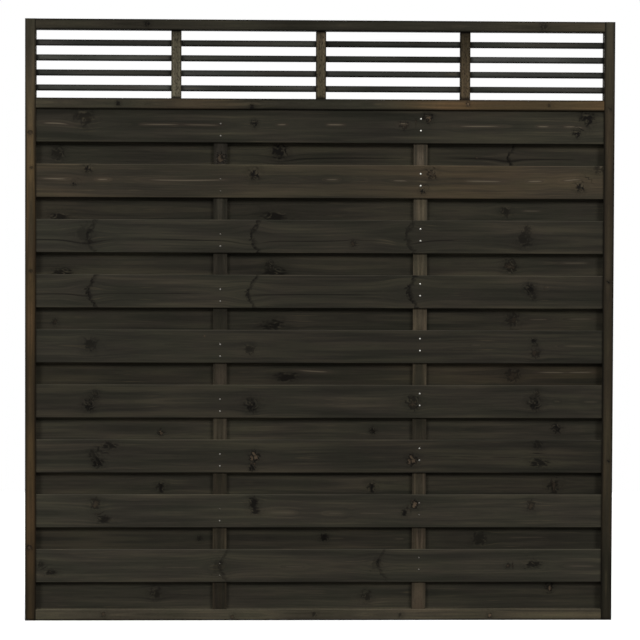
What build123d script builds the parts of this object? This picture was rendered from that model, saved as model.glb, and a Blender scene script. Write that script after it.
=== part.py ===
"""Privacy fence panel with a slatted trellis top, framed all round and boarded on both sides.

Sizes are in millimetres. X runs along the panel, Y through its depth with the front at -Y, Z up.
The origin lies under the middle of the bottom rail.
"""

import os

from build123d import *

# The panel as a whole
panel_width = 1765.0
panel_height = 1800.0

# Stiles and rails, all cut from one stock
frame_face = 32.0
frame_depth = 45.0
frame_arris = 2.5

# Tenons on the rail ends
rail_tenon_length = 20.0
rail_tenon_height = 20.0
rail_tenon_thickness = 14.0

# Privacy boards, in a front and a back layer
boards_per_layer = 9
board_height = 99.0
board_thickness = 8.0
board_arris = 2.0
board_housing = 9.0

# Battens that hold the two layers apart
batten_count = 2
batten_spacing = 600.0
batten_width = 41.0
batten_thickness = 15.0
batten_housing = 9.0

# Trellis top
trellis_height = 203.0
post_count = 3
post_face = 30.0
post_depth = 30.0
post_arris = 2.0
post_tenon_length = 9.0
post_shoulder = 6.0
slat_rows = 4
slat_height = 18.0
slat_depth = 18.0
slat_arris = 1.5
slat_gap = 26.7
slat_top_gap = 29.0
slat_housing = 8.0

# Nails: heads are eight-sided and shanks square, which keeps the many of them light
nail_head_width = 5.5
nail_head_thickness = 1.2
nail_head_sides = 8
nail_shank = 2.2
board_nail_length = 21.0
frame_nail_length = 36.0
nail_rows = ((-0.3, 0.06), (-0.12, 0.24))  # shares of a board's height above its middle, by batten

# Clearances
joint_clearance = 0.2  # on each side of a tenon, a housed end or the two layers in their groove
end_clearance = 1.0  # left for swelling beyond the end of a tenon, slat, batten or board

# Levels and widths that follow from the sizes above
inner_half = panel_width / 2 - frame_face
stile_x = panel_width / 2 - frame_face / 2
boarding_bottom = frame_face
boarding_top = panel_height - frame_face - trellis_height - frame_face
trellis_bottom = boarding_top + frame_face
trellis_top = panel_height - frame_face
rail_levels = {
    "bottom_rail": 0.0,
    "middle_rail": boarding_top,
    "top_rail": trellis_top,
}

# Boards alternate between back and front from the bottom rail up, with the same overlap throughout
board_count = 2 * boards_per_layer
board_step = (boarding_top - boarding_bottom - board_height) / (board_count - 1)
layer_y = (batten_thickness + board_thickness) / 2
face_y = batten_thickness / 2 + board_thickness
groove_width = 2 * (face_y + joint_clearance)
frame_nail_seat = frame_depth / 2 - nail_head_thickness

# Battens stand evenly about the middle, posts leave equal clear bays
batten_xs = [batten_spacing * (i - (batten_count - 1) / 2) for i in range(batten_count)]
bay_width = (2 * inner_half - post_count * post_face) / (post_count + 1)
bay_starts = [-inner_half + i * (bay_width + post_face) for i in range(post_count + 1)]
post_xs = [start - post_face / 2 for start in bay_starts[1:]]
slat_levels = [
    trellis_top - slat_top_gap - slat_height / 2 - row * (slat_height + slat_gap)
    for row in range(slat_rows)
]

FRONT = -1
BACK = 1


def bar_along_x(section, x_start, x_end):
    """A bar on the X axis; its section is drawn as (depth, height)."""
    return Pos(x_start, 0, 0) * extrude(Plane.YZ * section, amount=x_end - x_start)


def bar_along_z(section, z_start, z_end):
    """A bar on the Z axis; its section is drawn as (width, depth)."""
    return Pos(0, 0, z_start) * extrude(section, amount=z_end - z_start)


def chamfered_section(width, height, arris):
    """The section of light trellis stock, its four corners planed off."""
    return chamfer(Rectangle(width, height).vertices(), arris)


def board_section(layer):
    """The section of a board: rounded corners on its outer face, sharp ones on the hidden face."""
    section = Rectangle(board_thickness, board_height)
    front_corners, back_corners = section.vertices().group_by(Axis.X)
    return fillet(front_corners if layer == FRONT else back_corners, board_arris)


def pocket(size_x, size_y, size_z):
    """A mortise to cut, centred on the face that it opens in, with clearance on its cheeks."""
    slack = 2 * joint_clearance
    return Box(size_x + slack, size_y + slack, size_z + slack)


def end_pocket(length, depth, height):
    """A mortise that opens along X and is deep enough for an end of this length."""
    reach = 2 * (length + end_clearance - joint_clearance)
    return pocket(reach, depth, height)


def foot_pocket(width, depth, length):
    """A mortise that opens along Z and is deep enough for an end of this length."""
    reach = 2 * (length + end_clearance - joint_clearance)
    return pocket(width, depth, reach)


def nail_shank_from(side, length):
    """A nail's shank, its top at the origin, driven inwards from the front or the back."""
    return Pos(0, -side * length / 2, 0) * Box(nail_shank, length, nail_shank)


def nail_from(side, length):
    """A whole nail, its head resting on the XZ plane at the origin."""
    flat_radius = nail_head_width / 2
    outline = RegularPolygon(flat_radius, nail_head_sides, major_radius=False)
    head = extrude(Plane.XZ * outline, amount=-side * nail_head_thickness)
    return head + nail_shank_from(side, length)


def board_level(layer, number):
    """Middle height of a board, counted from the top of its layer."""
    steps_down = 2 * number if layer == FRONT else 2 * number + 1
    return boarding_top - board_height / 2 - steps_down * board_step


def board_nail_places(layer):
    """Where the nails of one layer stand, as (board number, batten number, place)."""
    places = []
    for number in range(boards_per_layer):
        for batten, x in enumerate(batten_xs):
            for share in nail_rows[batten]:
                level = board_level(layer, number) + share * board_height
                places.append((number, batten, Pos(x, layer * face_y, level)))
    return places


def frame_nail_places():
    """Where a nail pins each rail tenon in its stile, its head flush with the back of the frame."""
    places = []
    for level in rail_levels.values():
        for side in (-1, 1):
            places.append(Pos(side * stile_x, frame_nail_seat, level + frame_face / 2))
    return places


def drilled(shape, places, tool):
    """The shape with the tool cut away at each place."""
    for place in places:
        shape -= place * tool
    return shape


def stile(side):
    """Full-height upright with rail mortises, slat mortises and the groove for the board ends."""
    section = RectangleRounded(frame_face, frame_depth, frame_arris)
    body = Pos(side * stile_x, 0, 0) * bar_along_z(section, 0, panel_height)
    boarding_middle = (boarding_bottom + boarding_top) / 2
    groove_reach = 2 * (board_housing + end_clearance)
    groove = Box(groove_reach, groove_width, boarding_top - boarding_bottom)
    body -= Pos(side * inner_half, 0, boarding_middle) * groove
    for level in rail_levels.values():
        mortise = end_pocket(rail_tenon_length, rail_tenon_thickness, rail_tenon_height)
        body -= Pos(side * inner_half, 0, level + frame_face / 2) * mortise
    for level in slat_levels:
        body -= Pos(side * inner_half, 0, level) * end_pocket(slat_housing, slat_depth, slat_height)
    return drilled(body, frame_nail_places(), nail_from(BACK, frame_nail_length))


def rail(level):
    """Cross member with a tenon on each end, before any mortises are cut in it."""
    section = RectangleRounded(frame_depth, frame_face, frame_arris)
    body = bar_along_x(section, -inner_half, inner_half)
    tenon_span = 2 * (inner_half + rail_tenon_length)
    body += Box(tenon_span, rail_tenon_thickness, rail_tenon_height)
    body = Pos(0, 0, level + frame_face / 2) * body
    return drilled(body, frame_nail_places(), nail_from(BACK, frame_nail_length))


def with_post_mortises(body, level):
    """A rail with a mortise for each trellis post in its face at this level."""
    width = post_face - 2 * post_shoulder
    depth = post_depth - 2 * post_shoulder
    for x in post_xs:
        body -= Pos(x, 0, level) * foot_pocket(width, depth, post_tenon_length)
    return body


def with_batten_mortises(body, level):
    """A rail with a mortise for each batten in its face at this level."""
    for x in batten_xs:
        body -= Pos(x, 0, level) * foot_pocket(batten_width, batten_thickness, batten_housing)
    return body


def batten(number):
    """Sawn upright between the layers, housed in the rails, nailed from both sides."""
    length = boarding_top - boarding_bottom + 2 * batten_housing
    middle = (boarding_bottom + boarding_top) / 2
    body = Pos(batten_xs[number], 0, middle) * Box(batten_width, batten_thickness, length)
    for layer in (FRONT, BACK):
        places = [place for _, batten, place in board_nail_places(layer) if batten == number]
        body = drilled(body, places, nail_shank_from(layer, board_nail_length))
    return body


def board(layer, number):
    """Planed board, housed at both ends in the grooves of the stiles."""
    reach = inner_half + board_housing
    body = bar_along_x(board_section(layer), -reach, reach)
    body = Pos(0, layer * layer_y, board_level(layer, number)) * body
    places = [place for row, _, place in board_nail_places(layer) if row == number]
    return drilled(body, places, nail_shank_from(layer, board_nail_length))


def trellis_post(number):
    """Short upright with a stub tenon on each end and slat mortises in both sides."""
    section = chamfered_section(post_face, post_depth, post_arris)
    body = bar_along_z(section, trellis_bottom, trellis_top)
    tenon_span = trellis_top - trellis_bottom + 2 * post_tenon_length
    tenon = Box(post_face - 2 * post_shoulder, post_depth - 2 * post_shoulder, tenon_span)
    body += Pos(0, 0, (trellis_bottom + trellis_top) / 2) * tenon
    for level in slat_levels:
        for side in (-1, 1):
            mortise = end_pocket(slat_housing, slat_depth, slat_height)
            body -= Pos(side * post_face / 2, 0, level) * mortise
    return Pos(post_xs[number], 0, 0) * body


def trellis_slat(bay, row):
    """Short slat across one bay, housed at both ends."""
    start = bay_starts[bay] - slat_housing
    end = bay_starts[bay] + bay_width + slat_housing
    body = bar_along_x(chamfered_section(slat_depth, slat_height, slat_arris), start, end)
    return Pos(0, 0, slat_levels[row]) * body


def board_nails(layer):
    """All the nails of one layer, as separate solids."""
    nail = nail_from(layer, board_nail_length)
    return Compound([place * nail for _, _, place in board_nail_places(layer)])


def frame_nails():
    """The nails that pin the frame joints, as separate solids."""
    nail = nail_from(BACK, frame_nail_length)
    return Compound([place * nail for place in frame_nail_places()])


pieces = {
    "left_stile": stile(-1),
    "right_stile": stile(1),
    "top_rail": with_post_mortises(rail(rail_levels["top_rail"]), trellis_top),
    "middle_rail": with_batten_mortises(
        with_post_mortises(rail(rail_levels["middle_rail"]), trellis_bottom), boarding_top
    ),
    "bottom_rail": with_batten_mortises(rail(rail_levels["bottom_rail"]), boarding_bottom),
    "front_nails": board_nails(FRONT),
    "back_nails": board_nails(BACK),
    "frame_nails": frame_nails(),
}
for number, name in enumerate(("left", "right")):
    pieces[f"{name}_batten"] = batten(number)
for number, name in enumerate(("left", "middle", "right")):
    pieces[f"trellis_post_{name}"] = trellis_post(number)
for bay in range(post_count + 1):
    for row in range(slat_rows):
        pieces[f"trellis_slat_bay{bay + 1}_row{row + 1}"] = trellis_slat(bay, row)
for number in range(boards_per_layer):
    pieces[f"front_board_{number + 1}"] = board(FRONT, number)
    pieces[f"back_board_{number + 1}"] = board(BACK, number)

os.makedirs("parts", exist_ok=True)
for name, shape in pieces.items():
    export_step(shape, f"parts/{name}.step")
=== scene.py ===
"""Dresses the privacy fence panel: stained softwood, round nails, a white studio and the camera."""

import functools
import math
from dataclasses import dataclass

import bmesh
import bpy
import numpy as np
from mathutils import Matrix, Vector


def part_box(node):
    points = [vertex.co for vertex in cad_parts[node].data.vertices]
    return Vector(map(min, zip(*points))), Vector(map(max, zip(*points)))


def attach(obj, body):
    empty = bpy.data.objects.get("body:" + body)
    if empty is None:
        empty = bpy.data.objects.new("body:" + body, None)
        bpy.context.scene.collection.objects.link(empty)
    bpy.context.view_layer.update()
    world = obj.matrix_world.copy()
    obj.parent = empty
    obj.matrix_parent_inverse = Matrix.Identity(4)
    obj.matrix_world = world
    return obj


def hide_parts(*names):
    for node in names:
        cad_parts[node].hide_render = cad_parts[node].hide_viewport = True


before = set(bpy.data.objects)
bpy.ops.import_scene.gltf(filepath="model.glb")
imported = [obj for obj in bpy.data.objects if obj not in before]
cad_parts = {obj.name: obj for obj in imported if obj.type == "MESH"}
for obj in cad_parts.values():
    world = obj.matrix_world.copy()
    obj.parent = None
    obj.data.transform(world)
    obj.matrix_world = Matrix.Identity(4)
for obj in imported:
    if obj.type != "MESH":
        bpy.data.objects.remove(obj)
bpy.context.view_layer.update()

MM = 0.001

FRONT = -1
BACK = 1

# Every timber is its solid cut finer, so that grain can bend round knots and faces can dry out of true
SLICE_ALONG = 10 * MM
SLICE_ACROSS = 6.5 * MM
FEWEST_SLICES = 60  # along a short one
CUT_SLACK = 1e-7
SAME_PLACE = 1e-6
FLAT = math.radians(1)  # faces that bend less are one
SHARP = math.radians(50)  # edges that bend more show as edges

# A dried face is hollow in long shallow waves, but less so at a knot
HOLLOW = 0.3 * MM
PROUD = 0.25 * MM
HOLLOW_LENGTH = 470 * MM
HOLLOW_WIDTH = 130 * MM
HOLLOW_SEED = 300  # added to a timber's own

# Grain wanders up and down along a timber, its heart in and out, as (distance, length of a wave)
LONG_WANDER = (1.8 * MM, 900 * MM)
SHORT_WANDER = (0.72 * MM, 330 * MM)
HEART_WANDER = (2.5 * MM, 698 * MM)

# Grain parts round a knot, by this share of the knot's size and as far as this many sizes
PARTING = 0.75
PARTING_ALONG = 2.2
PARTING_ACROSS = 1.4
# No knot marks the wood further off than this many sizes, and its mark fades over the last of them
KNOT_REACH = 4.0
KNOT_FADE = 1.2

# Painted shade along a timber's edges, where its rounded arrises turn from the lamps: how much darker they
# are than its faces, and how far in.
# Below 0, they are painted paler instead, a highlight where the arris catches the light, partly worn
BOARD_ARRIS = (-0.18, 4 * MM)
STILE_ARRIS = (0.95, 9 * MM)
RAIL_ARRIS = (0.9, 6 * MM)
BOTTOM_RAIL_ARRIS = (0.2, 4 * MM)
BATTEN_ARRIS = (0.0, 4 * MM)
POST_ARRIS = (0.9, 4 * MM)
SLAT_ARRIS = (1.0, 4 * MM)

# Painted shade at the trellis joints too, a contact shadow where posts and slats meet the wood round them:
# how far it is full, and where it has faded out
JOINT_LINE = 3 * MM
JOINT_REACH = 9 * MM

# How much of each end is hidden in its mortise
POST_HOUSED = 9 * MM
SLAT_HOUSED = 8 * MM

# Painted shade at the foot of the panel, a contact shadow along its bottom edge: how far up, and how much at
# the ground
FOOT_REACH = 7 * MM
FOOT_DARK = 0.9

# Sets the patterns of one timber apart from the next
SEED_SPACING = 3.7

# Kinds of knot, as how far it is a spike knot, how pale its heart is, how dark it is,
# and how far the grain draws it out
BLOT = (0.0, 0.0, 1.0, 1.0)
SMUDGE = (0.0, 0.0, 0.7, 1.0)
TRAIL = (0.0, 0.0, 0.9, 2.2)
SPIKE = (1.0, 0.0, 1.0, 1.0)
FAINT_SPIKE = (1.0, 0.0, 0.75, 1.0)
BROKEN_SPIKE = (0.6, 0.0, 1.0, 1.0)
RED = (0.0, 0.3, 0.95, 1.0)
RING = (0.0, 0.2, 0.85, 1.0)
PALE = (0.0, 0.9, 0.95, 1.0)
# A tiny pale fleck with no dark: a painted glint of light, as off a bead of resin
RESIN_GLINT = (0.0, 1.0, 0.0, 1.0)


@dataclass
class Look:
    """What one timber shows. Places and sizes are in mm, along it and up from its middle."""

    seed: int
    light: tuple = (1.0,)  # brightness at even steps along it, partly the wood's own tone and partly painted light and shade that makes up for how the lamps fall on it
    warm: tuple = (0.1,)  # how brown it is at even steps along it
    heart_up: float = 0.0  # where the tree's heart runs
    heart_deep: float = 5.0  # and how deep it lies under the front face
    heart_tone: float = 0.0  # how it shows where it comes to the face: pale above 0, dark below
    heart_runs: tuple = ()  # the stretches where it does
    knots: tuple = ()  # (along, up, size, kind)


FRONT_LOOKS = (
    Look(
        11,
        light=(1.05, 0.95, 1.05),
        heart_up=4,
        heart_tone=0.75,
        heart_runs=(
            (-850, -737),
            (-545, -400),
            (-440, -270),
            (-140, -95),
            (12, 71),
            (228, 268),
            (372, 577),
            (643, 690),
            (725, 790),
        ),
        knots=(
            (-707, 27, 24, SMUDGE),
            (-199, 8, 9, BLOT),
            (249, 4, 11, RING),
            (321, 27, 12, PALE),
            (800, 28, 18, BLOT),
            (769, -18, 10, BLOT),
        ),
    ),
    Look(
        12,
        light=(1.35, 1.15, 0.9, 1.15, 1.4),
        warm=(0.35, 0.25, 0.2, 0.45, 0.35),
        heart_up=4,
        heart_tone=0.55,
        heart_runs=(
            (-850, -737),
            (-682, -622),
            (-562, -276),
            (0, 68),
            (206, 268),
            (430, 560),
            (607, 682),
            (709, 803),
        ),
        knots=(
            (-696, 36, 11, BLOT),
            (-737, -9, 6, BLOT),
            (-199, 21, 15, BLOT),
            (332, 25, 14, RED),
            (306, -28, 8, BLOT),
            (836, 44, 16, SMUDGE),
            (780, -13, 13, BLOT),
        ),
    ),
    Look(
        13,
        light=(1.0, 0.9, 0.9),
        warm=(0.0, 0.1, 0.1),
        heart_up=-12,
        heart_deep=4,
        heart_tone=-0.8,
        heart_runs=((-1000, -560), (-660, -120), (-260, 280), (200, 480)),
        knots=(
            (-702, -2, 26, BROKEN_SPIKE),
            (-212, 0, 25, SPIKE),
            (98, -22, 8, RING),
            (253, 3, 27, FAINT_SPIKE),
            (614, -10, 19, SMUDGE),
            (622, 22, 10, SMUDGE),
        ),
    ),
    Look(
        14,
        light=(1.15, 0.85, 0.9),
        heart_up=-8,
        heart_deep=4,
        heart_tone=-0.8,
        heart_runs=((-1000, -620), (-720, -260), (-330, 180)),
        knots=(
            (-700, -2, 25, SPIKE),
            (-222, -8, 22, SPIKE),
            (260, 2, 28, SPIKE),
            (630, 10, 14, BLOT),
            (642, -14, 9, SMUDGE),
            (684, 15, 3, RESIN_GLINT),
        ),
    ),
    Look(
        15,
        light=(0.8, 0.7, 0.75),
        warm=(0.0, 0.05, 0.05),
        heart_up=3,
        heart_tone=0.25,
        heart_runs=((445, 495), (712, 850)),
        knots=(
            (-688, 7, 18, SMUDGE),
            (-212, -8, 14, SMUDGE),
            (-346, 31, 4, RESIN_GLINT),
            (643, 19, 8, BLOT),
            (648, -19, 13, RING),
        ),
    ),
    Look(
        16,
        light=(0.8, 0.9, 0.85),
        heart_up=0,
        heart_tone=0.2,
        heart_runs=((700, 730), (780, 850)),
        knots=(
            (-692, -12, 15, BLOT),
            (-672, 20, 11, SMUDGE),
            (-206, -12, 17, BLOT),
            (279, -4, 17, RED),
            (646, -6, 17, BLOT),
            (655, 26, 9, SMUDGE),
        ),
    ),
    Look(
        17,
        light=(1.0, 0.8, 0.65),
        heart_up=-3,
        heart_tone=-0.35,
        heart_runs=((310, 430), (380, 520), (480, 640)),
        knots=(
            (-664, -20, 14, BLOT),
            (-680, 6, 11, SMUDGE),
            (-628, 31, 9, TRAIL),
            (-195, -2, 14, PALE),
            (-202, -36, 9, BLOT),
            (279, -12, 14, PALE),
            (664, -20, 11, TRAIL),
            (658, 36, 12, SMUDGE),
        ),
    ),
    Look(
        18,
        light=(1.2, 1.0, 1.05),
        heart_up=-7,
        heart_tone=0.12,
        heart_runs=((5, 90), (100, 225), (-160, -60)),
        knots=(
            (-673, 21, 15, RING),
            (-647, -26, 10, TRAIL),
            (-199, 24, 15, BLOT),
            (-193, -2, 7, TRAIL),
            (285, 19, 12, PALE),
            (255, -6, 9, BLOT),
            (637, 16, 13, RING),
        ),
    ),
    Look(
        19,
        light=(1.2, 0.95, 1.15),
        heart_up=-4,
        heart_tone=0.15,
        heart_runs=((-480, -350), (-120, -30), (727, 850)),
        knots=(
            (-836, 4, 10, SMUDGE),
            (-806, -20, 8, TRAIL),
            (-304, -2, 20, BROKEN_SPIKE),
            (172, 6, 18, BROKEN_SPIKE),
            (569, 0, 7, RED),
            (645, 4, 11, TRAIL),
        ),
    ),
)

BACK_LOOKS = (
    Look(
        31,
        light=(1.5, 0.95, 1.2),
        heart_up=-12,
        heart_deep=4,
        heart_tone=-0.9,
        heart_runs=((-250, 330), (250, 760)),
        knots=((-786, -2, 18, SMUDGE), (-123, 6, 20, BLOT), (562, -9, 20, SPIKE), (471, -9, 3, RESIN_GLINT)),
    ),
    Look(
        32,
        light=(1.05, 1.0, 1.4),
        heart_up=-2,
        heart_tone=0.3,
        heart_runs=((590, 682),),
        knots=((-780, -27, 13, TRAIL), (-135, -24, 16, TRAIL), (558, -5, 15, SMUDGE)),
    ),
    Look(
        33,
        light=(1.2, 1.0, 1.3),
        heart_up=4,
        heart_tone=0.3,
        heart_runs=((712, 832),),
        knots=(
            (-772, -29, 12, TRAIL),
            (-152, -4, 13, SMUDGE),
            (-135, -27, 14, TRAIL),
            (573, -5, 17, RED),
        ),
    ),
    Look(
        34,
        light=(1.2, 1.0, 1.0),
        heart_up=2,
        heart_tone=0.4,
        heart_runs=((610, 710), (720, 850)),
        knots=((-795, -11, 8, RING), (-140, -20, 14, TRAIL), (583, -1, 17, RING)),
    ),
    Look(
        35,
        light=(0.95, 1.05, 0.9),
        warm=(0.15, 0.15, 0.35),
        heart_up=4,
        heart_tone=0.7,
        heart_runs=((-70, 40), (648, 760), (727, 850)),
        knots=((-101, -10, 13, TRAIL), (583, -4, 18, RING)),
    ),
    Look(
        36,
        light=(1.4, 1.2, 1.2),
        knots=((-477, -14, 8, PALE), (161, -8, 9, BLOT), (718, 0, 13, BLOT)),
    ),
    Look(
        37,
        light=(1.1, 1.1, 0.8),
        knots=((-477, -11, 13, BLOT), (158, -11, 13, BLOT), (709, -7, 17, RED)),
    ),
    Look(
        38,
        light=(0.9, 0.9, 1.0),
        heart_up=-2,
        heart_tone=0.2,
        heart_runs=((20, 80), (220, 268), (560, 690)),
        knots=((16, 0, 11, BLOT), (486, -4, 19, SMUDGE), (-360, -3, 8, SMUDGE)),
    ),
    Look(
        39,
        light=(1.15, 1.25, 0.9),
        knots=((-492, -5, 15, SMUDGE), (143, -14, 14, SMUDGE), (697, 12, 11, PALE)),
    ),
)

FRAME_LOOKS = {
    "left_stile": Look(
        51,
        light=(0.8, 0.8, 0.95, 1.15, 1.3, 1.9),
        warm=(1.0, 1.0, 0.95, 0.95, 0.65, 0.1),
        knots=((561, 0, 7, RING), (456, 4, 5, SMUDGE), (148, 2, 6, SMUDGE), (-680, -3, 7, PALE)),
    ),
    "right_stile": Look(
        52,
        light=(0.65, 0.6, 0.6, 0.6, 0.9, 1.15),
        warm=(0.3, 0.3, 0.3, 0.25, 0.5, 0.05),
        knots=((120, 0, 6, BLOT), (-420, 4, 5, BLOT), (640, 2, 7, SMUDGE)),
    ),
    "top_rail": Look(
        53,
        light=(0.75, 0.7, 0.75, 0.85, 1.65),
        warm=(0.05, 0.0, 0.0, 0.0, 0.4),
        knots=((-519, 2, 8, BLOT), (667, 2, 11, SMUDGE)),
    ),
    "middle_rail": Look(
        54,
        light=(1.15, 1.15, 0.8, 0.95, 1.1, 0.95, 1.0, 1.05, 1.5, 1.7, 1.6, 1.7, 1.7),
        warm=(0.1, 0.1, 0.0, 0.3, 0.4, 0.0, 0.0, 0.0, 0.9, 1.0, 1.0, 1.0, 1.0),
        knots=((-605, 0, 7, BLOT), (-206, -8, 7, BLOT), (441, 3, 6, PALE), (685, 0, 5, SMUDGE)),
    ),
    "bottom_rail": Look(
        55,
        light=(1.3, 1.4, 1.15, 1.25, 1.4, 1.25, 1.1, 1.25, 1.25, 1.0, 1.1, 1.1, 1.05),
        warm=(0.1, 0.15),
        knots=(
            (-646, 3, 8, RED),
            (-260, -6, 7, RED),
            (-14, 2, 8, SMUDGE),
            (245, 0, 7, SMUDGE),
            (516, -2, 8, PALE),
        ),
    ),
}

POST_LOOKS = {
    "trellis_post_left": Look(61, light=(1.3, 1.25, 1.15), warm=(0.0,)),
    "trellis_post_middle": Look(62, light=(1.0, 0.95), warm=(0.35, 0.3)),
    "trellis_post_right": Look(63, light=(0.75, 0.65, 0.4), warm=(0.5, 0.5)),
}

BATTEN_LOOKS = {
    "left_batten": Look(71, light=(0.6, 0.7, 0.6), warm=(0.5, 0.3, 0.05), knots=((604, 0, 14, PALE),)),
    "right_batten": Look(72, light=(0.75, 1.05, 2.2), warm=(0.45, 0.4, 0.35)),
}

# The slats are too slight to tell apart, so each draws its look from these ranges
BAYS = 4
ROWS = 4
SLAT_SEED = 80
SLAT_STEPS = 4
SLAT_LIGHT = (0.65, 1.15)
SLAT_WARM = (0.0, 0.25)
SLAT_HEART_UP = (-20, 20)
SLAT_HEART_DEEP = (6, 20)


def colour(code):
    """A colour written as sRGB hex, as linear red, green, blue and alpha."""
    parts = [int(code[i : i + 2], 16) / 255 for i in (1, 3, 5)]
    return [c / 12.92 if c <= 0.04045 else ((c + 0.055) / 1.055) ** 2.4 for c in parts] + [1.0]


# Timbers


def sliced(bar, axis, step):
    """Cuts the bar across every step, each time only in what is still whole."""
    levels = [point.co[axis] for point in bar.verts]
    low, high = min(levels), max(levels)
    count = math.ceil((high - low) / step)
    normal = [float(i == axis) for i in range(3)]
    whole = bar.verts[:] + bar.edges[:] + bar.faces[:]
    for cut in range(1, count):
        level = low + (high - low) * cut / count
        place = [level * share for share in normal]
        made = bmesh.ops.bisect_plane(bar, geom=whole, dist=CUT_SLACK, plane_co=place, plane_no=normal)
        whole = [
            part
            for part in made["geom"]
            if any(point.co[axis] > level for point in getattr(part, "verts", [part]))
        ]


def finer_copy(node, long_axis, wide_axis):
    """A mesh of the solid with its flat faces divided into small cells."""
    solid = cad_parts[node].data
    mesh = bpy.data.meshes.new(node + "_timber")
    corners = [point.co for point in solid.vertices]
    mesh.from_pydata(corners, [], [list(face.vertices) for face in solid.polygons])
    bar = bmesh.new()
    bar.from_mesh(mesh)
    bmesh.ops.remove_doubles(bar, verts=bar.verts, dist=SAME_PLACE)
    bmesh.ops.dissolve_limit(bar, angle_limit=FLAT, verts=bar.verts, edges=bar.edges)
    low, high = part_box(node)
    length = (high - low)[long_axis]
    sliced(bar, wide_axis, SLICE_ACROSS)
    sliced(bar, 1, SLICE_ACROSS)
    sliced(bar, long_axis, min(SLICE_ALONG, length / FEWEST_SLICES))
    bar.to_mesh(mesh)
    bar.free()
    return mesh


def eased(values, share):
    """A value between those given for even steps along a timber."""
    return np.interp(share, np.linspace(0, 1, len(values)), values)


def swing(along, wave, phase):
    """How far something swings to and fro along a timber."""
    distance, length = wave
    return distance * np.sin(along * 2 * np.pi / length + phase)


def grain_of(along, across, deep, look):
    """What a timber shows at each point, under the names that its material reads."""
    draw = np.random.default_rng(look.seed)
    phase = draw.uniform(0, 2 * np.pi, 3)
    wander = swing(along, LONG_WANDER, phase[0]) + swing(along, SHORT_WANDER, phase[1])
    rise = across - look.heart_up * MM - wander
    nearest = np.full_like(along, np.inf)
    knot = np.zeros((len(along), 3))
    kind = np.zeros((len(along), 3))
    for knot_along, knot_up, size, (spike, pale, dark, drawn) in look.knots:
        drawn_out = (along - knot_along * MM) / drawn
        offset = np.column_stack([drawn_out, across - knot_up * MM]) / (size * MM)
        reach = np.hypot(offset[:, 0], offset[:, 1])
        closer = reach < nearest
        nearest[closer] = reach[closer]
        knot[closer, :2] = offset[closer]
        kind[closer] = (spike, pale, dark)
        parted = np.exp(-((offset[:, 0] / PARTING_ALONG) ** 2) - (offset[:, 1] / PARTING_ACROSS) ** 2)
        rise -= PARTING * parted * offset[:, 1] * size * MM
    knot[:, 2] = np.clip((KNOT_REACH - nearest) / KNOT_FADE, 0, 1)
    bare = np.zeros_like(along)
    for start, end in look.heart_runs:
        place = (along - start * MM) / ((end - start) * MM)
        bare = np.maximum(bare, np.clip(4 * place * (1 - place), 0, 1))
    buried = look.heart_deep * MM + swing(along, HEART_WANDER, phase[2])
    sunk = buried * (1 - bare) + deep
    share = (along - along.min()) / np.ptp(along)
    apart = np.full_like(along, look.seed * SEED_SPACING)
    return {
        "grain": np.column_stack([along, rise, sunk]),
        "knot": knot,
        "knot_kind": kind,
        "heart": np.outer(look.heart_tone * (bare > 0), (1, 0, 0)),
        "tone": np.column_stack([eased(look.light, share), eased(look.warm, share), apart]),
    }


def hollow(along, across, look):
    """How far a drying face has sunk at each point; knots stay proud of it."""
    draw = np.random.default_rng(look.seed + HOLLOW_SEED)
    phase = draw.uniform(0, 2 * np.pi, 2)
    wave = swing(along, (1, HOLLOW_LENGTH), phase[0]) * swing(across, (1, HOLLOW_WIDTH), phase[1])
    depth = HOLLOW * (0.5 + 0.5 * wave)
    for knot_along, knot_up, size, _ in look.knots:
        reach = np.hypot(along - knot_along * MM, across - knot_up * MM) / (size * MM)
        depth -= PROUD * np.exp(-(reach**2))
    return np.clip(depth, 0, None)


def timber(node, upright, look, material, open_faces, arris, housed=None):
    """One wooden piece in place of its solid; its open faces are those that dry hollow."""
    long_axis, wide_axis = (2, 0) if upright else (0, 2)
    mesh = finer_copy(node, long_axis, wide_axis)
    points = np.empty(len(mesh.vertices) * 3, np.float32)
    mesh.vertices.foreach_get("co", points)
    points = points.reshape(-1, 3).astype(float)
    low, high = (np.array(corner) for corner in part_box(node))
    middle = (low + high) / 2
    along = points[:, long_axis] - middle[long_axis]
    across = points[:, wide_axis] - middle[wide_axis]
    fields = grain_of(along, across, points[:, 1] - low[1], look)
    # Painted shade darkens the edges, the trellis joints and the foot of the panel; on the boards the edges
    # are painted paler, a highlight partly worn
    inset = (high - low) / 2 - np.abs(points - middle)
    from_arris = np.maximum(inset[:, wide_axis], inset[:, 1])
    strength, reach = arris
    painted_edge_light = np.clip(1 - from_arris / reach, 0, 1)
    if housed is not None:
        from_joint = np.abs(inset[:, long_axis] - housed)
        joint_shade = (JOINT_REACH - from_joint) / (JOINT_REACH - JOINT_LINE)
        painted_edge_light = np.maximum(painted_edge_light, np.clip(joint_shade, 0, 1))
    foot_shade = np.clip(1 - points[:, 2] / FOOT_REACH, 0, 1)
    fields["tone"][:, 0] *= (1 - strength * painted_edge_light) * (1 - FOOT_DARK * foot_shade)
    for name, values in fields.items():
        layer = mesh.attributes.new(name, "FLOAT_VECTOR", "POINT")
        layer.data.foreach_set("vector", values.astype(np.float32).ravel())
    for side in open_faces:
        face = low[1] if side == FRONT else high[1]
        shown = np.clip(1 - np.abs(points[:, 1] - face) / MM, 0, 1)
        points[:, 1] -= side * shown * hollow(along, across, look)
    mesh.vertices.foreach_set("co", points.astype(np.float32).ravel())
    mesh.shade_smooth()
    mesh.set_sharp_from_angle(angle=SHARP)
    placed(mesh, node, material)


def placed(mesh, node, material):
    """Puts a finished mesh in the place of its solid."""
    mesh.materials.append(material)
    piece = bpy.data.objects.new(mesh.name, mesh)
    bpy.context.collection.objects.link(piece)
    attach(piece, "root")
    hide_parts(node)


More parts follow.
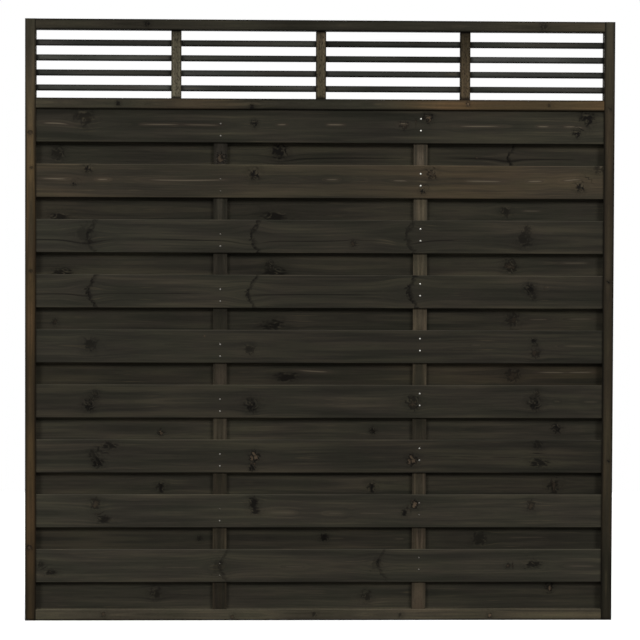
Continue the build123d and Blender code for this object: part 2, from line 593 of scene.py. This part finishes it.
def build_boards(material):
    """Nine boards in each layer; the hidden face of each lies against the battens."""
    for number, look in enumerate(FRONT_LOOKS, 1):
        timber(f"front_board_{number}", False, look, material, (FRONT,), BOARD_ARRIS)
    for number, look in enumerate(BACK_LOOKS, 1):
        timber(f"back_board_{number}", False, look, material, (BACK,), BOARD_ARRIS)


def build_frame(material):
    """Two stiles and three rails."""
    for node, look in FRAME_LOOKS.items():
        upright = "stile" in node
        arris = RAIL_ARRIS
        if upright:
            arris = STILE_ARRIS
        elif node == "bottom_rail":
            arris = BOTTOM_RAIL_ARRIS
        timber(node, upright, look, material, (FRONT, BACK), arris)


def build_battens(material):
    """Two sawn uprights between the layers, with boards nailed to both their faces."""
    for node, look in BATTEN_LOOKS.items():
        timber(node, True, look, material, (), BATTEN_ARRIS)


def build_trellis(post_material, slat_material):
    """Three posts and four rows of slats in four bays."""
    for node, look in POST_LOOKS.items():
        timber(node, True, look, post_material, (FRONT, BACK), POST_ARRIS, POST_HOUSED)
    draw = np.random.default_rng(SLAT_SEED)
    for bay in range(1, BAYS + 1):
        for row in range(1, ROWS + 1):
            look = Look(
                100 + 10 * bay + row,
                light=tuple(draw.uniform(*SLAT_LIGHT, SLAT_STEPS)),
                warm=tuple(draw.uniform(*SLAT_WARM, SLAT_STEPS)),
                heart_up=draw.uniform(*SLAT_HEART_UP),
                heart_deep=draw.uniform(*SLAT_HEART_DEEP),
            )
            node = f"trellis_slat_bay{bay}_row{row}"
            timber(node, False, look, slat_material, (FRONT, BACK), SLAT_ARRIS, SLAT_HOUSED)


# Nails

# Outlines to turn, as (radius, height above the wood) in mm from the top of the head to the point
BOARD_NAIL = (
    (0, 1.2),
    (1.1, 1.12),
    (1.9, 0.85),
    (2.5, 0.45),
    (2.75, 0),
    (1.05, 0),
    (1.05, -19),
    (0, -21),
)
FRAME_NAIL = ((0, 1.2), (2.4, 1.2), (2.75, 0.9), (2.75, 0), (1.05, 0), (1.05, -33), (0, -36))
NAIL_STEPS = 16  # round each ring
FRAME_NAIL_HEAD = 1.2 * MM

# Where the nails cross each batten, as shares of a board's height
NAIL_ROWS = {"left_batten": (-0.3, 0.06), "right_batten": (-0.12, 0.24)}
# How much stain still covers them, from the top board down
NAIL_STAIN = {"left_batten": (0.93, 0.93, 0.85, 0.95), "right_batten": (0.3, 0.3, 0.4, 0.75, 0.95)}
FRAME_NAIL_STAIN = 0.7
STAIN_SPREAD = 0.1  # from nail to nail


def turned_nails(node, outline, seats, material):
    """Round nails; a seat is the place of the head's underside, the side it faces and its stain."""
    draw = np.random.default_rng(len(seats))
    steel = bmesh.new()
    film = steel.verts.layers.float.new("stain")
    for place, side, stain in seats:
        shade = float(np.clip(stain + draw.normal(0, STAIN_SPREAD), 0, 1))
        rings = []
        for radius, height in outline:
            ring = []
            for step in range(NAIL_STEPS):
                turn = -side * 2 * math.pi * step / NAIL_STEPS
                reach = (radius * math.cos(turn), side * height, radius * math.sin(turn))
                point = steel.verts.new([start + part * MM for start, part in zip(place, reach)])
                point[film] = shade
                ring.append(point)
            rings.append(ring)
        for upper, lower in zip(rings, rings[1:]):
            for step in range(NAIL_STEPS):
                beside = (step + 1) % NAIL_STEPS
                steel.faces.new((upper[step], upper[beside], lower[beside], lower[step]))
    bmesh.ops.remove_doubles(steel, verts=steel.verts, dist=SAME_PLACE)
    bmesh.ops.recalc_face_normals(steel, faces=steel.faces)
    mesh = bpy.data.meshes.new(node + "_turned")
    steel.to_mesh(mesh)
    steel.free()
    mesh.shade_smooth()
    mesh.set_sharp_from_angle(angle=SHARP)
    placed(mesh, node, material)


def build_nails(material):
    """Two nails through every board into each batten, and one from the back in each frame joint."""
    for layer, side, count in (("front", FRONT, len(FRONT_LOOKS)), ("back", BACK, len(BACK_LOOKS))):
        seats = []
        for number in range(1, count + 1):
            low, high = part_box(f"{layer}_board_{number}")
            face = low.y if side == FRONT else high.y
            for batten, rows in NAIL_ROWS.items():
                left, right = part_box(batten)
                stain = eased(NAIL_STAIN[batten], (number - 1) / (count - 1))
                for share in rows:
                    level = (low.z + high.z) / 2 + share * (high.z - low.z)
                    seats.append((((left.x + right.x) / 2, face, level), side, stain))
        turned_nails(f"{layer}_nails", BOARD_NAIL, seats, material)
    seats = []
    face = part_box("frame_nails")[1].y - FRAME_NAIL_HEAD
    for stile in ("left_stile", "right_stile"):
        left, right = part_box(stile)
        for rail in ("top_rail", "middle_rail", "bottom_rail"):
            low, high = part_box(rail)
            place = ((left.x + right.x) / 2, face, (low.z + high.z) / 2)
            seats.append((place, BACK, FRAME_NAIL_STAIN))
    turned_nails("frame_nails", FRAME_NAIL, seats, material)


# Finishes


def add(tree, kind, feeds=(), out=0, **settings):
    """Gives one output of a new shader node; feeds are values or sockets, in order or by name."""
    node = tree.nodes.new("ShaderNode" + kind)
    for name, value in settings.items():
        setattr(node, name, value)
    for socket, value in feeds.items() if isinstance(feeds, dict) else enumerate(feeds):
        if isinstance(value, bpy.types.NodeSocket):
            tree.links.new(value, node.inputs[socket])
        else:
            node.inputs[socket].default_value = value
    return node.outputs[out]


# Streaks in the wood, as (length, width) in mm
BANDS = (420, 24)
GROWTH_RINGS = (260, 5)
FIBRES = (40, 1.6)
RUBBED = (120, 3.2)
# Blotches, as (length, height) in mm
CASTS = (170, 55)
ROUGH = (7, 3)
# Tufts in a knot, as a share of its size
TUFTS = 0.8

# Rough spots on a nail's head, in mm
STEEL_SPOTS = 1.5

# Casts of the stain, as what they do to red, green and blue
GREEN_CAST = (0.98, 1.015, 0.95, 1)
PLUM_CAST = (1.02, 0.995, 0.98, 1)
BROWN_CAST = (1.38, 1.0, 0.7, 1)

KNOT_BARK = "#0E0C09"
KNOT_HEART = "#584A3B"
# Paler torn fibres round the knots, partly a painted glint
TORN_FIBRE_GLINTS = "#605848"
PALE_HEARTWOOD = "#655D4E"
HEART_FRINGE = "#3C332B"
BARE_WOOD = "#574E3C"
BRIGHT_STEEL = "#C9C7BF"
STAINED_STEEL = "#37332B"


def stained_softwood(name, deep, body, worn, relief, specks):
    """Pine or spruce under a thin dark stain, planed or sawn, left matt.

    The stain sinks into the soft early wood and skips the hard rings, so the eye gets long soft streaks
    that part round knots, casts of green and brown, and paler wood where the tree's heart comes to the face.
    Its colours run from deep through body to worn; relief is the height of its grain in mm, and specks is
    how dark its rough spots are. A Mix node takes colours at 6 and 7 and gives one at 2.
    """
    material = bpy.data.materials.new(name)
    material.use_nodes = True
    tree = material.node_tree
    node = functools.partial(add, tree)
    fields = {}
    for field in ("grain", "knot", "knot_kind", "heart", "tone"):
        vector = node("Attribute", out="Vector", attribute_name=field)
        fields[field] = node("SeparateXYZ", (vector,)).node.outputs
    along, rise, sunk = fields["grain"]
    knot_along, knot_up, knot_near = fields["knot"]
    spike, pale, dark = fields["knot_kind"]
    heart_tone = fields["heart"][0]
    light, warm, seed = fields["tone"]

    ring = node("VectorMath", (node("CombineXYZ", (rise, sunk)),), "Value", operation="LENGTH")
    turned = node("CombineXYZ", (along, ring, seed))
    flat = node("CombineXYZ", (along, rise, seed))
    noise = {}
    streaks = (BANDS, GROWTH_RINGS, FIBRES, RUBBED)
    blotches = (CASTS, ROUGH)
    for space, patterns in ((turned, streaks), (flat, blotches)):
        for length, width in patterns:
            scale = (1000 / length, 1000 / width, 1.0)
            spread = node("VectorMath", (space, scale), operation="MULTIPLY")
            noise[length, width] = node("TexNoise", {"Vector": spread, "Scale": 1.0, "Detail": 2.5})

    # The stain's depth of colour follows the rings
    shade = node("Math", (noise[BANDS], 0.58), operation="MULTIPLY")
    shade = node("Math", (noise[GROWTH_RINGS], 0.28, shade), operation="MULTIPLY_ADD")
    shade = node("Math", (noise[FIBRES], 0.14, shade), operation="MULTIPLY_ADD")
    share = node("MapRange", (shade, 0.36, 0.5, 0.0, 1.0))
    base = node("Mix", {0: share, 6: colour(deep), 7: colour(body)}, 2, data_type="RGBA")
    share = node("MapRange", (shade, 0.5, 0.64, 0.0, 1.0))
    base = node("Mix", {0: share, 6: base, 7: colour(worn)}, 2, data_type="RGBA")

    # Casts of green and plum, brown where the stain is thin, bare wood where it is rubbed
    share = node("MapRange", (noise[CASTS], 0.38, 0.62, 0.0, 1.0))
    cast = node("Mix", {0: share, 6: GREEN_CAST, 7: PLUM_CAST}, 2, data_type="RGBA")
    base = node("Mix", {0: 1.0, 6: base, 7: cast}, 2, data_type="RGBA", blend_type="MULTIPLY")
    brown = node("Mix", {0: 1.0, 6: base, 7: BROWN_CAST}, 2, data_type="RGBA", blend_type="MULTIPLY")
    share = node("MapRange", (noise[BANDS], 0.35, 0.6, 0.6, 1.2))
    share = node("Math", (share, warm), operation="MULTIPLY", use_clamp=True)
    base = node("Mix", {0: share, 6: base, 7: brown}, 2, data_type="RGBA")
    share = node("MapRange", (noise[RUBBED], 0.64, 0.8, 0.0, 0.4))
    base = node("Mix", {0: share, 6: base, 7: colour(BARE_WOOD)}, 2, data_type="RGBA")
    share = node("MapRange", (noise[ROUGH], 0.5, 0.34, 0.0, specks))
    base = node("Mix", {0: share, 6: base, 7: colour(KNOT_BARK)}, 2, data_type="RGBA")

    # The heart of the tree, pale or dark, where it comes to the face
    share = node("MapRange", (ring, 0.3 * MM, 2.6 * MM, 1.0, 0.0))
    broken = node("MapRange", (noise[BANDS], 0.3, 0.5, 0.5, 1.0))
    share = node("Math", (share, broken), operation="MULTIPLY")
    share = node("Math", (share, heart_tone), operation="MULTIPLY")
    pale_heart = node("Math", (share, 0.0), operation="MAXIMUM", use_clamp=True)
    dark_heart = node("Math", (share, -1.0), operation="MULTIPLY", use_clamp=True)
    fringe = node("MapRange", (ring, 1.5 * MM, 7 * MM, 0.6, 0.0))
    fringe = node("Math", (fringe, heart_tone), operation="MULTIPLY", use_clamp=True)
    base = node("Mix", {0: fringe, 6: base, 7: colour(HEART_FRINGE)}, 2, data_type="RGBA")
    base = node("Mix", {0: pale_heart, 6: base, 7: colour(PALE_HEARTWOOD)}, 2, data_type="RGBA")
    base = node("Mix", {0: dark_heart, 6: base, 7: colour(KNOT_BARK)}, 2, data_type="RGBA")

    # Round knots: ragged tufts, or dark rings with a paler heart
    place = node("CombineXYZ", (knot_along, knot_up, seed))
    tufts = node("TexNoise", {"Vector": place, "Scale": 1 / TUFTS, "Detail": 1.5, "Distortion": 1.2})
    wander = node("Math", (tufts, 0.5), operation="SUBTRACT")
    narrowed = node("Math", (knot_along, 1.1), operation="MULTIPLY")
    place = node("CombineXYZ", (narrowed, knot_up))
    centre = node("VectorMath", (place,), "Value", operation="LENGTH")
    reach = node("Math", (wander, 3.2, centre), operation="MULTIPLY_ADD")
    blot = node("MapRange", (reach, 0.55, 1.45, 1.0, 0.0))
    rim = node("Math", (reach, 0.8), operation="SUBTRACT")
    rim = node("Math", (rim,), operation="ABSOLUTE")
    rim = node("MapRange", (rim, 0.15, 0.5, 1.0, 0.0))
    halo = node("MapRange", (reach, 0.5, 2.6, 0.36, 0.0))
    blot = node("Mix", {0: pale, 2: blot, 3: rim})
    blot = node("Math", (blot, halo), operation="MAXIMUM")

    # Spike knots: two arms that curve away from a point on the heart
    arm = node("Math", (knot_up, knot_up, 0.12), operation="MULTIPLY_ADD")
    arm = node("Math", (arm, 0.5), operation="POWER")
    arm = node("Math", (arm, -0.62, knot_along), operation="MULTIPLY_ADD")
    arm = node("Math", (wander, 1.4, arm), operation="MULTIPLY_ADD")
    inside = node("MapRange", (arm, -0.1, 0.35, 1.0, 0.0))
    outside = node("MapRange", (arm, -0.4, -0.2, 0.0, 1.0))
    arms = node("Math", (inside, outside), operation="MULTIPLY")
    broken = node("MapRange", (noise[GROWTH_RINGS], 0.35, 0.6, 0.5, 1.0))
    arms = node("Math", (arms, broken), operation="MULTIPLY")
    mark = node("Mix", {0: spike, 2: blot, 3: arms})
    shown = node("Math", (knot_near, dark), operation="MULTIPLY")
    mark = node("Math", (mark, shown), operation="MULTIPLY")
    base = node("Mix", {0: mark, 6: base, 7: colour(KNOT_BARK)}, 2, data_type="RGBA")
    share = node("MapRange", (reach, 0.7, 0.1, 0.0, 0.75))
    shown = node("Math", (knot_near, pale), operation="MULTIPLY")
    share = node("Math", (share, shown), operation="MULTIPLY")
    base = node("Mix", {0: share, 6: base, 7: colour(KNOT_HEART)}, 2, data_type="RGBA")

    # Fibres torn up round the knots by the plane, paler than the stain, with painted glints where they catch
    # the light
    torn_glints = node("MapRange", (tufts, 0.58, 0.76, 0.0, 0.25))
    around = node("MapRange", (centre, 0.6, 1.6, 1.0, 0.0))
    torn_glints = node("Math", (torn_glints, around), operation="MULTIPLY")
    shown = node("Math", (knot_near, spike), operation="SUBTRACT")
    torn_glints = node("Math", (torn_glints, shown), operation="MULTIPLY", use_clamp=True)
    base = node("Mix", {0: torn_glints, 6: base, 7: colour(TORN_FIBRE_GLINTS)}, 2, data_type="RGBA")

    # Brightness along the timber: its own tone, partly painted light and shade, with the painted shade at
    # its edges, joints and foot
    base = node("VectorMath", {0: base, "Scale": light}, operation="SCALE")
    height = node("Math", (noise[GROWTH_RINGS], noise[FIBRES]), operation="ADD")
    sunken = node("Math", (mark, dark_heart), operation="ADD")
    height = node("Math", (sunken, -0.5, height), operation="MULTIPLY_ADD")
    normal = node("Bump", {"Strength": 0.5, "Distance": relief * MM, "Height": height})
    roughness = node("MapRange", (noise[BANDS], 0.35, 0.65, 0.75, 0.6))
    shader = tree.nodes["Principled BSDF"]
    tree.links.new(base, shader.inputs["Base Color"])
    tree.links.new(roughness, shader.inputs["Roughness"])
    tree.links.new(normal, shader.inputs["Normal"])
    shader.inputs["Specular IOR Level"].default_value = 0.05
    return material


def drawn_steel_wire():
    """Plain steel wire, cut and headed into nails: bare heads shine, others keep a film of the stain."""
    material = bpy.data.materials.new("drawn_steel_wire")
    material.use_nodes = True
    tree = material.node_tree
    node = functools.partial(add, tree)
    stain = node("Attribute", out="Fac", attribute_name="stain")
    place = node("TexCoord", out="Object")
    spots = node("TexNoise", {"Vector": place, "Scale": 1000 / STEEL_SPOTS, "Detail": 2.0})
    film = node("MapRange", (spots, 0.3, 0.7, -0.15, 0.15))
    film = node("Math", (film, stain), operation="ADD", use_clamp=True)
    steel = node("Mix", {0: film, 6: colour(BRIGHT_STEEL), 7: colour(STAINED_STEEL)}, 2, data_type="RGBA")
    roughness = node("MapRange", (film, 0.0, 1.0, 0.3, 0.65))
    normal = node("Bump", {"Strength": 0.3, "Distance": 0.1 * MM, "Height": spots})
    shader = tree.nodes["Principled BSDF"]
    tree.links.new(steel, shader.inputs["Base Color"])
    tree.links.new(roughness, shader.inputs["Roughness"])
    tree.links.new(normal, shader.inputs["Normal"])
    shader.inputs["Metallic"].default_value = 0.85
    return material


# The studio

FLOOR_LEFT_RIGHT = 4.0
FLOOR_FRONT = 1.3
FLOOR_BACK = 4.0
FLOOR_SEEN = "#F9F9F9"
FLOOR_DULL = "#7A7A7A"  # what it throws back on the boards
AMBIENT = 0.15

# Lamps as (height, turn to the right, spread, strength); the first three are degrees, seen from the panel
LAMPS = {
    "left_lamp": (27, -30, 18, 1.12),
    "right_lamp": (27, 30, 18, 1.12),
    "top_lamp": (74, 0, 20, 2.5),
    "back_lamp": (18, 180, 20, 2.0),
    "left_side_lamp": (20, -90, 20, 0.8),
    "right_side_lamp": (20, 90, 20, 0.8),
}

CAMERA_PLACE = (-0.278, -8.0, 1.152)
CAMERA_TURN = 1.989  # degrees to the right
CAMERA_TILT = -1.781  # degrees up
CAMERA_ROLL = 0.209  # degrees
CAMERA_LENS = 149.87  # mm
CAMERA_SENSOR = 36.0  # mm


def build_floor():
    """Matt white paint that keeps the panel's shadow; the boards get little of its light."""
    mesh = bpy.data.meshes.new("floor")
    side = FLOOR_LEFT_RIGHT
    front = [(-side, -FLOOR_FRONT, 0), (side, -FLOOR_FRONT, 0)]
    back = [(side, FLOOR_BACK, 0), (-side, FLOOR_BACK, 0)]
    mesh.from_pydata(front + back, [], [(0, 1, 2, 3)])
    material = bpy.data.materials.new("white_floor_paint")
    material.use_nodes = True
    tree = material.node_tree
    node = functools.partial(add, tree)
    seen = node("LightPath", out="Is Camera Ray")
    white = node("BsdfDiffuse", {"Color": colour(FLOOR_SEEN)})
    dull = node("BsdfDiffuse", {"Color": colour(FLOOR_DULL)})
    surface = node("MixShader", (seen, dull, white))
    tree.links.new(surface, tree.nodes["Material Output"].inputs["Surface"])
    mesh.materials.append(material)
    floor = bpy.data.objects.new("floor", mesh)
    bpy.context.collection.objects.link(floor)


def build_surround():
    """Even light from all round; the camera, and gloss, see plain white."""
    world = bpy.data.worlds.new("studio")
    bpy.context.scene.world = world
    world.use_nodes = True
    tree = world.node_tree
    tree.nodes.clear()
    node = functools.partial(add, tree)
    fill = node("Background", {"Color": colour("#FFFFFF"), "Strength": AMBIENT})
    white = node("Background", {"Color": colour("#FFFFFF"), "Strength": 1.0})
    rays = node("LightPath", out="Is Camera Ray").node.outputs
    seen = node("Math", (rays["Is Camera Ray"], rays["Is Glossy Ray"]), operation="MAXIMUM")
    seen = node("Math", (seen, rays["Is Transmission Ray"]), operation="MAXIMUM")
    surround = node("MixShader", (seen, fill, white))
    output = tree.nodes.new("ShaderNodeOutputWorld")
    tree.links.new(surround, output.inputs["Surface"])


def build_lamp(name, height, turn, spread, strength):
    """A far soft lamp."""
    lamp = bpy.data.lights.new(name, "SUN")
    lamp.energy = strength
    lamp.angle = math.radians(spread)
    holder = bpy.data.objects.new(name, lamp)
    holder.rotation_euler = (math.radians(90 - height), 0, math.radians(turn))
    bpy.context.collection.objects.link(holder)


def build_camera():
    """The photograph's view: far off, a little left of the middle and above half height."""
    camera = bpy.data.cameras.new("camera")
    camera.lens = CAMERA_LENS
    camera.sensor_width = CAMERA_SENSOR
    holder = bpy.data.objects.new("camera", camera)
    turn = Matrix.Rotation(-math.radians(CAMERA_TURN), 4, "Z")
    tilt = Matrix.Rotation(math.radians(90 + CAMERA_TILT), 4, "X")
    roll = Matrix.Rotation(math.radians(CAMERA_ROLL), 4, "Z")
    holder.matrix_world = Matrix.Translation(CAMERA_PLACE) @ turn @ tilt @ roll
    bpy.context.collection.objects.link(holder)
    bpy.context.scene.camera = holder


# Smooth and almost black, with long soft streaks
board_pine = stained_softwood(
    "planed_board_pine", "#23221D", "#2D2B25", "#3A372E", relief=0.35, specks=0.0
)
# A shade paler, with a few dark specks left by the planer
frame_pine = stained_softwood(
    "planed_frame_pine", "#25231C", "#343129", "#484337", relief=0.35, specks=0.15
)
# Rougher, with pale streaks where the saw has left the stain thin
batten_spruce = stained_softwood(
    "sawn_batten_spruce", "#23221D", "#302E28", "#4A4740", relief=0.6, specks=0.15
)
# The palest and roughest, speckled all over by torn fibres
post_spruce = stained_softwood(
    "sawn_post_spruce", "#343024", "#4E493D", "#6A6555", relief=0.8, specks=0.8
)
# Smooth, and greyer than the boards
slat_pine = stained_softwood(
    "planed_slat_pine", "#2A2B28", "#383936", "#474846", relief=0.35, specks=0.2
)

build_boards(board_pine)
build_frame(frame_pine)
build_battens(batten_spruce)
build_trellis(post_spruce, slat_pine)
build_nails(drawn_steel_wire())

build_floor()
build_surround()
for name, setting in LAMPS.items():
    build_lamp(name, *setting)
build_camera()
bpy.context.scene.view_settings.view_transform = "Standard"
